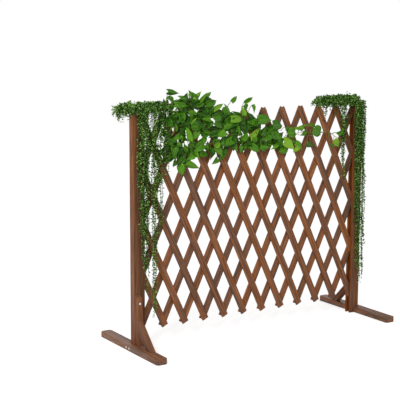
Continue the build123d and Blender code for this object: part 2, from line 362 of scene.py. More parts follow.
# Feet: flat runners 450 x 46 x 22 mm of the same wood, laid across the fence, their
# corners clipped and their upper edges eased. Two screws go through into the post's fork.
foot_wood = stained_wood(
    "stained foot wood", (0.154, 0.090, 0.062), (0.326, 0.121, 0.045), 0.012, 0.0032, 0.45,
    gloss=0.25)
clip, foot_screw_height, foot_screw_spread = 0.008, 0.011, 0.0115
countersink, screw_depth = 0.0048, 0.0026
for turn, side in both_ends:
    low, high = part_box(f"{side}_foot")
    outline = [
        (low.x + clip, low.y), (high.x - clip, low.y), (high.x, low.y + clip),
        (high.x, high.y - clip), (high.x - clip, high.y), (low.x + clip, high.y),
        (low.x, high.y - clip), (low.x, low.y + clip)]
    outer = low.x if turn == 1 else high.x
    holes = [round_hole((outer, y, foot_screw_height), "X", countersink, screw_depth)
             for y in (-foot_screw_spread, foot_screw_spread)]
    foot = timber(f"{side}_runner_foot", f"{side}_foot", [prism(outline, "Z", low.z, high.z)],
                  holes, (0, 1, 0), foot_wood, edge=0.0018, seed=21 + turn)
    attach(foot, f"{side}_end")

# Blocks: short uprights of the same section, sloped at the top, standing on the foot
# against the post and held by one screw.
block_slope, block_screw_drop, slim_edge = 0.013, 0.031, 0.0012
for turn, side in both_ends:
    low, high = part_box(f"{side}_post_block")
    near, far = (high.y, low.y) if turn == 1 else (low.y, high.y)
    outline = [(near, low.z), (far, low.z), (far, high.z - block_slope), (near, high.z)]
    screw_place = ((low.x + high.x) / 2, far, high.z - block_screw_drop)
    hole = round_hole(screw_place, "Y", countersink, screw_depth)
    block = timber(f"{side}_upright_block", f"{side}_post_block",
                   [prism(outline, "X", low.x, high.x)], [hole], (0, 0, 1), post_wood,
                   edge=slim_edge, seed=31 + turn)
    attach(block, f"{side}_end")

# Braces: struts of the same stained wood, 24 mm deep and laid at 45 degrees, mitred at
# both ends and glued between the block and the foot.
brace_depth = 0.024
mitre = brace_depth * sqrt(2)
for turn, side in both_ends:
    low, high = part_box(f"{side}_brace")
    near, far = (high.y, low.y) if turn == 1 else (low.y, high.y)
    outline = [(near, high.z), (far, low.z), (far + turn * mitre, low.z), (near, high.z - mitre)]
    brace = timber(f"{side}_slanting_brace", f"{side}_brace",
                   [prism(outline, "X", low.x, high.x)], [], (0, turn, 1), post_wood,
                   edge=slim_edge, seed=41 + turn)
    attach(brace, f"{side}_end")


# Screws: white zinc countersunk cross-slot screws, three at each end, kept from the
# construction model. Rolled metal with faint turning marks.
def marked_metal(name, metallic, mark_scale, detail, stops, dull):
    """Metal with fine marks in its colour and its gloss."""
    metal, tree, shader = new_material(name)
    shader.inputs["Metallic"].default_value = metallic
    spot = add(tree, "ShaderNodeTexCoord").outputs["Object"]
    marks = add(tree, "ShaderNodeTexNoise", {
        "Vector": spot, "Scale": mark_scale, "Detail": detail}).outputs["Fac"]
    tree.links.new(ramp(tree, marks, stops), shader.inputs["Base Color"])
    tree.links.new(ranged(tree, marks, dull), shader.inputs["Roughness"])
    return metal


def finish_metal(nodes, metal):
    """Puts a metal on pieces that are kept from the construction model."""
    for node in nodes:
        frame["nodes"][node].data.materials.clear()
        frame["nodes"][node].data.materials.append(metal)


finish_metal(["left_screws", "right_screws"], marked_metal(
    "white zinc", 0.35, 900.0, 3.0, [(0.3, (0.62, 0.6, 0.58)), (0.6, (0.86, 0.85, 0.83))],
    (0.25, 0.5)))

# Slats: 28 x 6 mm planed strips of stained softwood, cut square, in two layers riveted where
# they cross. Front slats lean 25 degrees left and back slats right; the outer ones are cut
# short and end in the posts' grooves.
slat_width, slat_thickness, slat_overhang, slat_edge = 0.028, 0.006, 0.015, 0.0011
layer_gap, open_angle = 0.0004, radians(25)
post_top, top_row_drop, lowest_row = 0.9, 0.0212, 0.0885
cell_columns, cell_rows = 11, 4
last_row, last_column = 2 * cell_rows, 2 * cell_columns
row_height = (post_top - top_row_drop - lowest_row) / last_row
rivet_spacing = row_height / cos(open_angle)
half_pitch = rivet_spacing * sin(open_angle)
hinge_line = -last_column * half_pitch / 2

slat_wood = stained_wood(
    "stained slat wood", (0.192, 0.105, 0.070), (0.352, 0.131, 0.050), 0.011, 0.0024, 0.74)

slat_tree, took, gave = group_tree(
    "Slat", "GeometryNodeTree",
    [("Geometry", "Geometry"), ("Length", "Float"), ("Width", "Float"), ("Thickness", "Float"),
     ("Lean", "Vector"), ("Middle", "Vector"), ("Board", "Vector"), ("Wood", "Material")],
    [("Geometry", "Geometry")])
size = add(slat_tree, "ShaderNodeCombineXYZ", {
    "X": took["Length"], "Y": took["Thickness"], "Z": took["Width"]})
plank = add(slat_tree, "GeometryNodeMeshCube", {"Size": size.outputs[0], "Vertices X": 24})
own_place = add(slat_tree, "GeometryNodeInputPosition").outputs[0]
marked = add(slat_tree, "GeometryNodeStoreNamedAttribute", {
    "Geometry": plank.outputs["Mesh"], "Name": "grain",
    "Value": vectors(slat_tree, "ADD", own_place, took["Board"])},
    data_type="FLOAT_VECTOR", domain="POINT")
laid = add(slat_tree, "GeometryNodeTransform", {
    "Geometry": marked.outputs[0], "Translation": took["Middle"],
    "Rotation": took["Lean"]})


def real_piece(tree, geometry, material):
    """Single real geometry with its material on it."""
    real = add(tree, "GeometryNodeRealizeInstances", {"Geometry": geometry})
    return add(tree, "GeometryNodeSetMaterial", {
        "Geometry": real.outputs[0], "Material": material}).outputs[0]


slat_tree.links.new(real_piece(slat_tree, laid.outputs[0], took["Wood"]), gave[0])


def grow(name, tree, seedling, values, edge=None):
    """Runs a tree on an object with the given inputs and keeps the result as a plain mesh."""
    holder = bpy.data.objects.new(name, seedling)
    bpy.context.scene.collection.objects.link(holder)
    step = holder.modifiers.new("made", "NODES")
    step.node_group = tree
    for item in tree.interface.items_tree:
        if item.in_out == "INPUT" and item.name in values:
            step[item.identifier] = values[item.name]
    if edge:
        ease(holder, edge, 2, 30)
    settle(holder)
    return holder


for layer, sign in (("front", -1), ("back", 1)):
    for number in range(1, cell_columns + cell_rows):
        first, last = max(0, 2 * number - last_column), min(last_row, 2 * number)
        middle_row = (first + last) / 2
        x = hinge_line + (2 * number - middle_row) * half_pitch
        name_number = number
        if sign == 1:
            x, name_number = -x, cell_columns + cell_rows - number
        middle = Vector((x, sign * (layer_gap + slat_thickness) / 2,
                         lowest_row + middle_row * row_height))
        node = f"{layer}_slat_{name_number:02d}"
        slat = grow(f"{layer}_board_{name_number:02d}", slat_tree, bpy.data.meshes.new("slat"), {
            "Length": (last - first) * rivet_spacing + 2 * slat_overhang,
            "Width": slat_width, "Thickness": slat_thickness,
            "Lean": (0, pi / 2 + sign * open_angle, 0), "Middle": middle,
            "Board": Vector(place_in_log(100 + sign * number, 0.02, 0.06)),
            "Wood": slat_wood}, edge=slat_edge)
        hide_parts(node)
        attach(slat, node)

# Rivets: browned steel, domed heads on both faces, one at every crossing, kept from the
# construction model. The hinge pins at the lowest corners are of the same steel.
rivet_nodes = [n for n in frame["nodes"] if n.startswith("slat_rivets")]
finish_metal(rivet_nodes + ["left_hinge_pin", "right_hinge_pin"], marked_metal(
    "browned steel", 0.8, 420.0, 4.0,
    [(0.35, (0.085, 0.04, 0.022)), (0.65, (0.22, 0.11, 0.06))], (0.35, 0.65)))


# Hanging vines: bundles of thin trailing strands set all round with small plump leaves,
# laid over each post's top in a tuft and hanging down its front.
def leaf_shape(name, fold, droop, twist, lobe, rows=8, columns=2, thickness=0.016, wave=0.035):
    """A closed leaf blade one unit long and wide, along +Y from its stalk end, its face up.

    Fold raises its halves, droop bends its tip down, twist turns it, lobe draws its base
    back and wave ripples its edge.
    """
    made = bmesh.new()
    along = made.verts.layers.float_vector.new("blade")
    sheets = []
    for face in (1, -1):
        sheet = []
        for i in range(rows + 1):
            t = i / rows
            spread = sin(pi * t ** 0.62) ** (0.72 + 0.65 * t) if 0 < t < 1 else 0.0
            line = []
            for j in range(-columns, columns + 1):
                s = j / columns
                x = s * spread / 2
                y = t - lobe * abs(s) ** 1.5 * spread * (1 - t) ** 3
                z = abs(s) * spread * fold - droop * t * t
                z += twist * s * spread * t + wave * s * s * sin(9 * t + 2 * s)
                edge = thickness / 2 * (1 - 0.6 * abs(s)) * (0.4 + 0.6 * (spread > 0))
                vert = made.verts.new((x, y, z + face * edge))
                vert[along] = (s, t, 0.0 if face == 1 else 0.2)
                line.append(vert)
                if spread == 0.0:
                    line = [vert] * (2 * columns + 1)
                    break
            sheet.append(line)
        sheets.append(sheet)
    top, under = sheets

    def patch(corners):
        """A face of the corners that differ: at the blade's ends some are the same."""
        kept = []
        for corner in corners:
            if corner not in kept:
                kept.append(corner)
        if len(kept) > 2:
            made.faces.new(kept)

    for i in range(rows):
        for j in range(2 * columns):
            patch((top[i][j], top[i][j + 1], top[i + 1][j + 1], top[i + 1][j]))
            patch((under[i][j + 1], under[i][j], under[i + 1][j], under[i + 1][j + 1]))
        for j, flip in ((0, False), (2 * columns, True)):
            rim = [top[i][j], top[i + 1][j], under[i + 1][j], under[i][j]]
            patch(rim if flip else rim[::-1])
    bmesh.ops.remove_doubles(made, verts=made.verts, dist=1e-6)
    return built_mesh(made, name)


def sprig(name, tones, length, width):
    """A whorl of small plump leaves, one for each tone, for one place on a strand."""
    made = bmesh.new()
    blade = made.verts.layers.float_vector.new("blade")
    for k, paler in enumerate(tones):
        yaw = Matrix.Rotation(2 * pi * (k + 0.2 * (k % 2)) / len(tones), 4, "Z")
        tilt = Matrix.Rotation(radians(30 + 18 * (k % 2)), 4, "X")
        turn = yaw @ tilt
        rim = [(0, 0, 0), (width * 0.5, length * 0.3, 0), (width * 0.42, length * 0.7, 0),
               (0, length, 0), (-width * 0.42, length * 0.7, 0), (-width * 0.5, length * 0.3, 0)]
        ring = [made.verts.new(turn @ Vector(p)) for p in rim]
        high = made.verts.new(turn @ Vector((0, length * 0.5, width * 0.16)))
        low = made.verts.new(turn @ Vector((0, length * 0.5, -width * 0.16)))
        for vert, (x, y, _) in zip(ring, rim):
            vert[blade] = (x / width * 2, y / length, paler)
        high[blade] = low[blade] = (0, 0.5, paler)
        for i in range(6):
            made.faces.new((ring[i], ring[(i + 1) % 6], high))
            made.faces.new((ring[(i + 1) % 6], ring[i], low))
    return built_mesh(made, name)


def foliage(name, shades, roughness, vein, gloss, mottling=0.35):
    """Leaf colour from each leaf's tone, paler along the midrib and mottled; for the garland the
    tone is partly painted light.
    """
    green, tree, shader = new_material(name)
    shader.inputs["Specular IOR Level"].default_value = gloss
    tone = add(tree, "ShaderNodeAttribute", attribute_name="tone").outputs["Fac"]
    blade = add(tree, "ShaderNodeAttribute", attribute_name="blade").outputs["Vector"]
    spot = add(tree, "ShaderNodeTexCoord").outputs["Object"]
    mottle = add(tree, "ShaderNodeTexNoise", {
        "Vector": spot, "Scale": 160.0, "Detail": 3.0}).outputs["Fac"]
    parts = add(tree, "ShaderNodeSeparateXYZ", {0: blade}).outputs
    mixed = maths(tree, "MULTIPLY_ADD", mottle, mottling, tone)
    mixed = maths(tree, "ADD", mixed, parts["Z"])
    first, steps = 0.1, len(shades) - 1
    greens = ramp(tree, mixed, [(first + (1 - first) * k / steps, shade)
                                for k, shade in enumerate(shades)])
    across = maths(tree, "ABSOLUTE", parts["X"])
    rib = ranged(tree, across, (1.0, 0.0), start=(0.0, 0.16))
    slanted = maths(tree, "MULTIPLY_ADD", across, -0.55, parts["Y"])
    waves = maths(tree, "SINE", maths(tree, "MULTIPLY", slanted, 44.0))
    side_veins = ranged(tree, waves, (0.0, 0.45), start=(0.55, 1.0))
    veins = maths(tree, "MAXIMUM", rib, side_veins)
    paler = add(tree, "ShaderNodeMix", {
        0: maths(tree, "MULTIPLY", veins, vein), 6: greens, 7: (*shades[-1], 1)},
        data_type="RGBA")
    tree.links.new(paler.outputs[2], shader.inputs["Base Color"])
    dull = ranged(tree, mottle, (roughness - 0.08, roughness + 0.12))
    tree.links.new(dull, shader.inputs["Roughness"])
    bump = add(tree, "ShaderNodeBump", {"Height": veins, "Strength": 0.4, "Distance": 0.0006})
    tree.links.new(bump.outputs["Normal"], shader.inputs["Normal"])
    return green


small_leaf_green = foliage(
    "small leaf green",
    [(0.007, 0.034, 0.003), (0.040, 0.132, 0.013), (0.122, 0.320, 0.041), (0.36, 0.66, 0.15)],
    0.46, 0.25, 0.07, mottling=1.1)
trailing_stem = foliage(
    "trailing stem", [(0.05, 0.06, 0.015), (0.10, 0.11, 0.03)], 0.6, 0.0, 0.2)

strand_tree, took, gave = group_tree(
    "Leafy strands", "GeometryNodeTree",
    [("Geometry", "Geometry"), ("Sprig", "Object"), ("Sprig Spacing", "Float"),
     ("Smallest", "Float"), ("Largest", "Float"), ("Tip Size", "Float"),
     ("Stem Radius", "Float"), ("Seed", "Int"), ("Leaf", "Material"), ("Stem", "Material")],
    [("Geometry", "Geometry")])
strands = add(strand_tree, "GeometryNodeMeshToCurve", {"Mesh": took["Geometry"]})
even = add(strand_tree, "GeometryNodeResampleCurve", {
    "Curve": strands.outputs[0], "Length": took["Sprig Spacing"]}, mode="LENGTH")
tangent = add(strand_tree, "GeometryNodeInputTangent").outputs[0]
facing = add(strand_tree, "FunctionNodeAlignRotationToVector", {"Vector": tangent}, axis="Z")
spin = add(strand_tree, "FunctionNodeRandomValue", {
    "Min": (-0.5, -0.5, 0.0), "Max": (0.5, 0.5, 2 * pi), "Seed": took["Seed"]},
    data_type="FLOAT_VECTOR")
as_turn = add(strand_tree, "FunctionNodeEulerToRotation", {0: spin.outputs[0]})
turned = add(strand_tree, "FunctionNodeRotateRotation", {
    0: facing.outputs[0], 1: as_turn.outputs[0]}, rotation_space="LOCAL")
bigness = add(strand_tree, "FunctionNodeRandomValue", {
    2: took["Smallest"], 3: took["Largest"], "Seed": took["Seed"]},
    data_type="FLOAT").outputs[1]
down = add(strand_tree, "GeometryNodeSplineParameter").outputs["Factor"]
taper = ranged(strand_tree, down, (1.12, took["Tip Size"]))
sprig_shape = add(strand_tree, "GeometryNodeObjectInfo", {"Object": took["Sprig"]})
leaves = add(strand_tree, "GeometryNodeInstanceOnPoints", {
    "Points": even.outputs[0], "Instance": sprig_shape.outputs["Geometry"],
    "Rotation": turned.outputs[0], "Scale": maths(strand_tree, "MULTIPLY", bigness, taper)})
scatter = add(strand_tree, "FunctionNodeRandomValue", {
    "Min": (-0.0032, -0.0032, -0.003), "Max": (0.0032, 0.0032, 0.003), "Seed": 11},
    data_type="FLOAT_VECTOR")
leaves = add(strand_tree, "GeometryNodeTranslateInstances", {
    "Instances": leaves.outputs[0], "Translation": scatter.outputs[0], "Local Space": False})
leaf_number = add(strand_tree, "GeometryNodeInputIndex").outputs[0]
shade = add(strand_tree, "FunctionNodeRandomValue", {
    2: -0.5, 3: 0.6, "ID": leaf_number, "Seed": 7}, data_type="FLOAT")
toned = add(strand_tree, "GeometryNodeStoreNamedAttribute", {
    "Geometry": leaves.outputs[0], "Name": "tone", "Value": shade.outputs[1]},
    data_type="FLOAT", domain="INSTANCE")


def tubes(tree, curves, sides, radius):
    """Thin closed tubes along curves."""
    ring = add(tree, "GeometryNodeCurvePrimitiveCircle", {
        "Resolution": sides, "Radius": radius}, mode="RADIUS")
    return add(tree, "GeometryNodeCurveToMesh", {
        "Curve": curves.outputs[0], "Profile Curve": ring.outputs[0],
        "Fill Caps": True}).outputs[0]


coarse = add(strand_tree, "GeometryNodeResampleCurve", {
    "Curve": strands.outputs[0], "Length": 0.02}, mode="LENGTH")
stems = tubes(strand_tree, coarse, 4, took["Stem Radius"])
both = strand_tree.nodes.new("GeometryNodeJoinGeometry")
for geometry, material in ((stems, "Stem"), (toned.outputs[0], "Leaf")):
    strand_tree.links.new(real_piece(strand_tree, geometry, took[material]), both.inputs[0])
strand_tree.links.new(both.outputs[0], gave[0])


def strands_mesh(lines):
    """Open chains of edges, one for each strand."""
    points, edges = [], []
    for line in lines:
        start = len(points)
        points += [tuple(p) for p in line]
        edges += [(start + k, start + k + 1) for k in range(len(line) - 1)]
    mesh = bpy.data.meshes.new("strands")
    mesh.from_pydata(points, edges, [])
    return mesh


def hanging(rng, x, y, top, bottom, sway=0.004, drift=0.0, step=0.02):
    """One strand that hangs from a place on the tuft, swaying a little on its way down."""
    count = max(4, int((top - bottom) / step))
    phase, wave = rng.uniform(0, 2 * pi, 2), rng.uniform(0.08, 0.2)
    line = []
    for k in range(count + 1):
        t = k / count
        z = top - t * (top - bottom)
        line.append((x + drift * t + sway * sin(phase[0] + (top - z) / wave * 2 * pi * 0.5),
                     y + sway * 0.7 * sin(phase[1] + (top - z) / wave * 2 * pi * 0.4), z))
    return line


def tuft(rng, count, low, high, ground=0.902):
    """Short curling strands that fill a mound between two corners of a box."""
    lines = []
    middle, half = (low + high) / 2, (high - low) / 2
    for _ in range(count):
        u, v = rng.uniform(-1, 1, 2)
        crown = sqrt(max(0.0, 1 - 0.4 * u ** 8 - 0.55 * v ** 4))
        start = Vector((middle.x + u * half.x * 0.9, middle.y + v * half.y * 0.9, 0))
        height = ground + (high.z - ground) * crown * rng.uniform(0.2, 1.0)
        heading = rng.uniform(0, 2 * pi)
        reach = rng.uniform(0.025, 0.05)
        line = []
        for k in range(6):
            t = k / 5
            line.append((start.x + cos(heading) * reach * (t - 0.5),
                         start.y + sin(heading) * reach * (t - 0.5),
                         height - 0.02 * (2 * t - 1) ** 2 + 0.004))
        lines.append(line)
    return lines


def floor_of(outline, x):
    """How far down a curtain hangs at one place along it, from a list of places and heights."""
    return float(np.interp(x, [p[0] for p in outline], [p[1] for p in outline]))


def cut_short(rng, bottom, mean, spread, highest):
    """Where a strand ends that hangs less far down than the curtain's lowest one there."""
    return min(bottom + (post_top - bottom) * max(0.0, rng.normal(mean, spread)), highest)


sprig_object = bpy.data.objects.new("sprig", sprig("sprig", (0.0, 0.3, -0.25), 0.0078, 0.0053))
vine_values = {"Sprig": sprig_object, "Sprig Spacing": 0.0072, "Smallest": 0.55, "Largest": 1.2,
               "Tip Size": 0.85, "Stem Radius": 0.0006, "Leaf": small_leaf_green,
               "Stem": trailing_stem}

# The left vine's curtain: how low it hangs at places across, then its single long strands.
left_drops = [(-0.546, 0.46), (-0.534, 0.43), (-0.522, 0.35), (-0.508, 0.26), (-0.496, 0.22),
              (-0.491, 0.50), (-0.482, 0.50), (-0.477, 0.17), (-0.469, 0.119), (-0.462, 0.22),
              (-0.452, 0.40), (-0.437, 0.48), (-0.422, 0.64), (-0.396, 0.70)]
long_strands = [(-0.520, 0.36), (-0.512, 0.33), (-0.504, 0.25), (-0.499, 0.22), (-0.496, 0.30),
                (-0.477, 0.20), (-0.473, 0.16), (-0.469, 0.119), (-0.465, 0.15), (-0.462, 0.24),
                (-0.452, 0.42), (-0.438, 0.48)]
curtain_start, curtain_width, crowding = -0.533, 0.136, 1.9
post_edge, before_post, before_slats = -0.498, (-0.043, -0.024), (-0.040, -0.019)
rng = np.random.default_rng(5)
lines = []
for _ in range(22):
    x = curtain_start + curtain_width * rng.uniform() ** crowding
    bottom = cut_short(rng, floor_of(left_drops, x), 0.22, 0.28, 0.8)
    y = rng.uniform(*(before_post if x < post_edge else before_slats))
    lines.append(hanging(rng, x, y, rng.uniform(0.895, 0.925), bottom))
for x, bottom in long_strands:
    lines.append(hanging(rng, x, rng.uniform(-0.035, -0.029), 0.91, bottom, sway=0.0025))
# Short ends over the back of the post, shortest in the middle.
for _ in range(30):
    x = rng.uniform(-0.588, -0.528)
    lines.append(hanging(rng, x, rng.uniform(0.025, 0.078), 0.92,
                         rng.uniform(0.862, 0.89) + abs(x + 0.56) * 0.4))
left_vine = grow("left_trailing_vine", strand_tree, strands_mesh(lines),
                 {**vine_values, "Seed": 3})
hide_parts("left_hanging_vine")
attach(left_vine, "left_end")
lines = tuft(rng, 190, Vector((-0.583, -0.046, 0.885)), Vector((-0.395, 0.075, 0.933)))
left_tuft = grow("left_vine_tuft", strand_tree, strands_mesh(lines), {**vine_values, "Seed": 5})
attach(left_tuft, "left_end")

# The right vine's curtain leans outward as it falls: crowded strands, short ones between
# them, the lowest ones, a few inside the post and the tuft's short front ends.
right_drops = [(0.484, 0.62), (0.490, 0.42), (0.497, 0.25), (0.504, 0.13), (0.511, 0.14),
               (0.518, 0.16), (0.524, 0.15), (0.530, 0.20), (0.536, 0.23), (0.542, 0.30)]
lean, strand_start, depths = 0.025, 0.91, (-0.043, -0.021)
rng = np.random.default_rng(8)
lines = []
for _ in range(22):
    x = rng.triangular(0.485, 0.518, 0.542)
    bottom = cut_short(rng, floor_of(right_drops, x), 0.52, 0.3, 0.84)
    lines.append(hanging(rng, x, rng.uniform(*depths), rng.uniform(0.89, 0.92), bottom,
                         drift=lean * (post_top - bottom)))
for _ in range(8):
    lines.append(hanging(rng, rng.uniform(0.490, 0.540), rng.uniform(*depths), strand_start,
                         rng.uniform(0.55, 0.78), drift=lean * 0.25))
for x, bottom in right_drops[3:]:
    lines.append(hanging(rng, x, rng.uniform(-0.040, -0.024), strand_start, bottom,
                         drift=lean * (post_top - bottom)))
for x, bottom in ((0.434, 0.64), (0.441, 0.60), (0.447, 0.58), (0.452, 0.68), (0.437, 0.66),
                  (0.444, 0.62), (0.449, 0.70), (0.431, 0.74), (0.345, 0.83)):
    lines.append(hanging(rng, x, rng.uniform(-0.024, -0.018), strand_start, bottom))
for _ in range(16):
    lines.append(hanging(rng, rng.uniform(0.305, 0.47), rng.uniform(-0.035, 0.02), post_top,
                         rng.uniform(0.845, 0.885)))
right_vine = grow("right_trailing_vine", strand_tree, strands_mesh(lines),
                  {**vine_values, "Seed": 4})
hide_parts("right_hanging_vine")
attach(right_vine, "right_end")
lines = tuft(rng, 200, Vector((0.294, -0.040, 0.875)), Vector((0.530, 0.026, 0.931)))
# Single shoots that stand up out of the tuft.
for x, y, high in ((0.458, -0.012, 0.937), (0.464, -0.004, 0.941), (0.472, -0.010, 0.936),
                   (0.340, -0.006, 0.933), (0.372, -0.010, 0.932), (0.505, -0.012, 0.932)):
    lines.append([(x + 0.010 * (t - 0.5), y, 0.910 + (high - 0.910) * t)
                  for t in (0.0, 0.35, 0.7, 1.0)])
right_tuft = grow("right_vine_tuft", strand_tree, strands_mesh(lines), {**vine_values, "Seed": 6})
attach(right_tuft, "right_end")
bpy.data.objects.remove(sprig_object)

# Garland: broad pointed artificial leaves, 25 to 65 mm long, on thin green stems woven along
# the top of the lattice. It is tied on in four lengths, each to one front slat.
broad_leaf_green = foliage(
    "broad leaf green",
    [(0.007, 0.050, 0.001), (0.031, 0.146, 0.002), (0.090, 0.300, 0.005), (0.290, 0.550, 0.030)],
    0.18, 0.35, 0.17)
garland_stem = foliage(
    "garland stem", [(0.20, 0.25, 0.05), (0.36, 0.42, 0.12)], 0.5, 0.0, 0.2)

# For each leaf in view: where its stalk ends and where its tip is, across and up, its width,
# all in millimetres, and how pale it is, partly its own colour and partly painted light where it
# caught the light.
leaf_places = [
    (-415, 950, -391, 959, 9, 0.7), (-411, 949, -384, 924, 19, 0.5),
    (-407, 974, -359, 967, 19, 0.35), (-382, 766, -386, 726, 28, 0.4),
    (-380, 825, -378, 861, 13, 0.6), (-380, 925, -318, 916, 20, 0.65),
    (-374, 713, -393, 696, 17, 0.2), (-372, 916, -338, 892, 17, 0.45),
    (-367, 778, -343, 764, 14, 0.75), (-364, 893, -388, 877, 15, 0.4),
    (-357, 693, -341, 654, 28, 0.7), (-355, 804, -389, 796, 19, 0.65),
    (-355, 947, -297, 941, 21, 0.6), (-350, 893, -344, 845, 24, 0.5),
    (-344, 808, -349, 783, 14, 0.5), (-337, 764, -309, 739, 22, 0.4),
    (-327, 702, -266, 676, 25, 0.75), (-322, 960, -297, 948, 9, 0.85),
    (-322, 894, -290, 863, 21, 0.5), (-318, 786, -327, 843, 24, 0.85),
    (-307, 849, -282, 871, 13, 0.9), (-305, 894, -279, 881, 12, 0.7),
    (-305, 839, -255, 834, 31, 0.45), (-298, 732, -326, 714, 24, 0.7),
    (-290, 940, -260, 971, 19, 0.75), (-283, 917, -246, 926, 14, 0.5),
    (-283, 821, -297, 783, 22, 0.7), (-283, 738, -271, 709, 10, 0.75),
    (-269, 729, -223, 728, 21, 0.4), (-266, 931, -241, 966, 16, 0.75),
    (-262, 781, -234, 801, 22, 0.5), (-255, 769, -297, 741, 31, 0.55),
    (-240, 923, -189, 932, 24, 0.5), (-238, 766, -216, 735, 20, 0.5),
    (-237, 947, -222, 966, 16, 0.5), (-221, 864, -260, 866, 26, 0.5),
    (-219, 857, -234, 821, 19, 0.4), (-214, 870, -158, 879, 31, 0.45),
    (-212, 811, -260, 818, 11, 0.5), (-206, 901, -164, 921, 20, 0.85),
    (-205, 757, -171, 773, 17, 0.85), (-202, 849, -159, 825, 20, 0.5),
    (-201, 751, -158, 715, 19, 0.7), (-185, 709, -212, 690, 20, 0.3),
    (-157, 834, -108, 844, 31, 0.55), (-155, 817, -203, 801, 35, 0.6),
    (-154, 909, -116, 874, 29, 0.5), (-126, 927, -104, 949, 16, 0.6),
    (-124, 860, -62, 857, 26, 0.85), (-121, 778, -164, 759, 28, 0.45),
    (-112, 770, -93, 731, 23, 0.6), (-91, 839, -79, 794, 12, 0.65),
    (-76, 753, -82, 729, 16, 0.5), (-74, 871, -79, 907, 21, 0.8),
    (-73, 774, -45, 806, 21, 0.65), (-69, 912, -48, 894, 20, 0.5),
    (-67, 919, -22, 943, 15, 0.8), (-33, 785, 9, 817, 30, 1.0),
    (-31, 751, 11, 725, 25, 0.6), (-27, 911, -21, 876, 13, 0.7),
    (-18, 783, -17, 750, 18, 0.6), (3, 851, 64, 849, 34, 0.5),
    (15, 748, 64, 743, 21, 0.5), (55, 796, 12, 768, 33, 0.45),
    (68, 796, 112, 771, 36, 0.45), (70, 828, 127, 823, 35, 0.35),
    (95, 749, 66, 729, 12, 0.8), (131, 757, 179, 729, 37, 0.95),
    (135, 814, 151, 795, 18, 0.5), (142, 729, 103, 719, 29, 0.5),
    (144, 795, 191, 786, 38, 0.55), (166, 757, 195, 748, 22, 0.45),
    (187, 748, 225, 721, 24, 0.8), (198, 734, 169, 713, 15, 1.0),
    (210, 811, 252, 824, 11, 0.8), (218, 795, 169, 815, 17, 0.85),
    (234, 795, 211, 777, 17, 0.6), (246, 742, 284, 732, 23, 0.3),
    (255, 821, 296, 806, 11, 0.75), (274, 803, 316, 774, 42, 0.65),
    (364, 736, 375, 710, 12, 0.5), (383, 750, 414, 720, 26, 0.9),
    (396, 778, 432, 796, 17, 0.6),
]
leaf_bends = [(0.20, 0.16, 0.0, 0.5), (0.30, 0.26, 0.12, 0.35), (0.14, 0.10, -0.18, 0.6),
              (0.38, 0.20, 0.1, 0.2), (-0.18, 0.22, -0.12, 0.5)]
leaf_kinds = [leaf_shape(f"broad_leaf_{k}", *bends) for k, bends in enumerate(leaf_bends)]
leaf_shelf = bpy.data.collections.new("leaf kinds")
for kind in leaf_kinds:
    leaf_shelf.objects.link(bpy.data.objects.new(kind.name, kind))

garland_tree, took, gave = group_tree(
    "Garland leaves", "GeometryNodeTree",
    [("Geometry", "Geometry"), ("Leaves", "Collection"), ("Leaf", "Material")],
    [("Geometry", "Geometry")])


def named(kind, label):
    """A value that each point brings with it."""
    return add(garland_tree, "GeometryNodeInputNamedAttribute", {"Name": label},
               data_type=kind).outputs[0]


shelf = add(garland_tree, "GeometryNodeCollectionInfo", {
    "Collection": took["Leaves"], "Separate Children": True, "Reset Children": True})
points = add(garland_tree, "GeometryNodeMeshToPoints", {"Mesh": took["Geometry"]})
turn = add(garland_tree, "FunctionNodeEulerToRotation", {0: named("FLOAT_VECTOR", "turn")})
placed = add(garland_tree, "GeometryNodeInstanceOnPoints", {
    "Points": points.outputs[0], "Instance": shelf.outputs[0], "Pick Instance": True,
    "Instance Index": named("INT", "kind"), "Rotation": turn.outputs[0],
    "Scale": named("FLOAT_VECTOR", "size")})
garland_tree.links.new(real_piece(garland_tree, placed.outputs[0], took["Leaf"]), gave[0])

stem_tree, took, gave = group_tree(
    "Stems", "GeometryNodeTree",
    [("Geometry", "Geometry"), ("Radius", "Float"), ("Sides", "Int"), ("Stem", "Material")],
    [("Geometry", "Geometry")])
lines = add(stem_tree, "GeometryNodeMeshToCurve", {"Mesh": took["Geometry"]})
tubing = tubes(stem_tree, lines, took["Sides"], took["Radius"])
stem_tree.links.new(real_piece(stem_tree, tubing, took["Stem"]), gave[0])

# Leaves behind the ones in view fill the bunch: places inside its outline, deeper, painted darker
# as painted shade and paler towards the right.
bunch = [(-0.42, 0.69, 0.94), (-0.33, 0.69, 0.95), (-0.25, 0.72, 0.94), (-0.15, 0.72, 0.91),
         (-0.05, 0.73, 0.89), (0.0, 0.73, 0.86), (0.06, 0.735, 0.83), (0.12, 0.735, 0.80)]
bunch_xs, bunch_lows, bunch_highs = zip(*bunch)
mm_per_metre, widening = 1000, 1.15
whole_bunch, left_end, behind, evenly = (-0.41, 0.11), (-0.42, -0.27), 178, 145
rng = np.random.default_rng(12)
leaves = []
for x0, z0, x1, z1, width, tone in leaf_places:
    leaves.append((Vector((x0, rng.uniform(-34, -24), z0)) / mm_per_metre,
                   Vector((x1, rng.uniform(-40, -28), z1)) / mm_per_metre,
                   width / mm_per_metre * widening, tone))
for k in range(behind):
    x = rng.uniform(*(whole_bunch if k < evenly else left_end))
    low, high = (np.interp(x, bunch_xs, edge) for edge in (bunch_lows, bunch_highs))
    z = rng.uniform(low + 0.02, high - 0.015)
    heading, length = rng.uniform(0, 2 * pi), rng.uniform(0.034, 0.052)
    y = rng.uniform(-0.022, -0.013)
    # Painted shade: the hidden leaves get darker tones than those in view, paler towards the
    # right.
    leaves.append((Vector((x, y, z)),
                   Vector((x + cos(heading) * length, y - rng.uniform(0, 0.01),
                           z + sin(heading) * length)), length * 0.62,
                   rng.uniform(0.0, 0.4) + 0.5 * max(0.0, x + 0.3)))

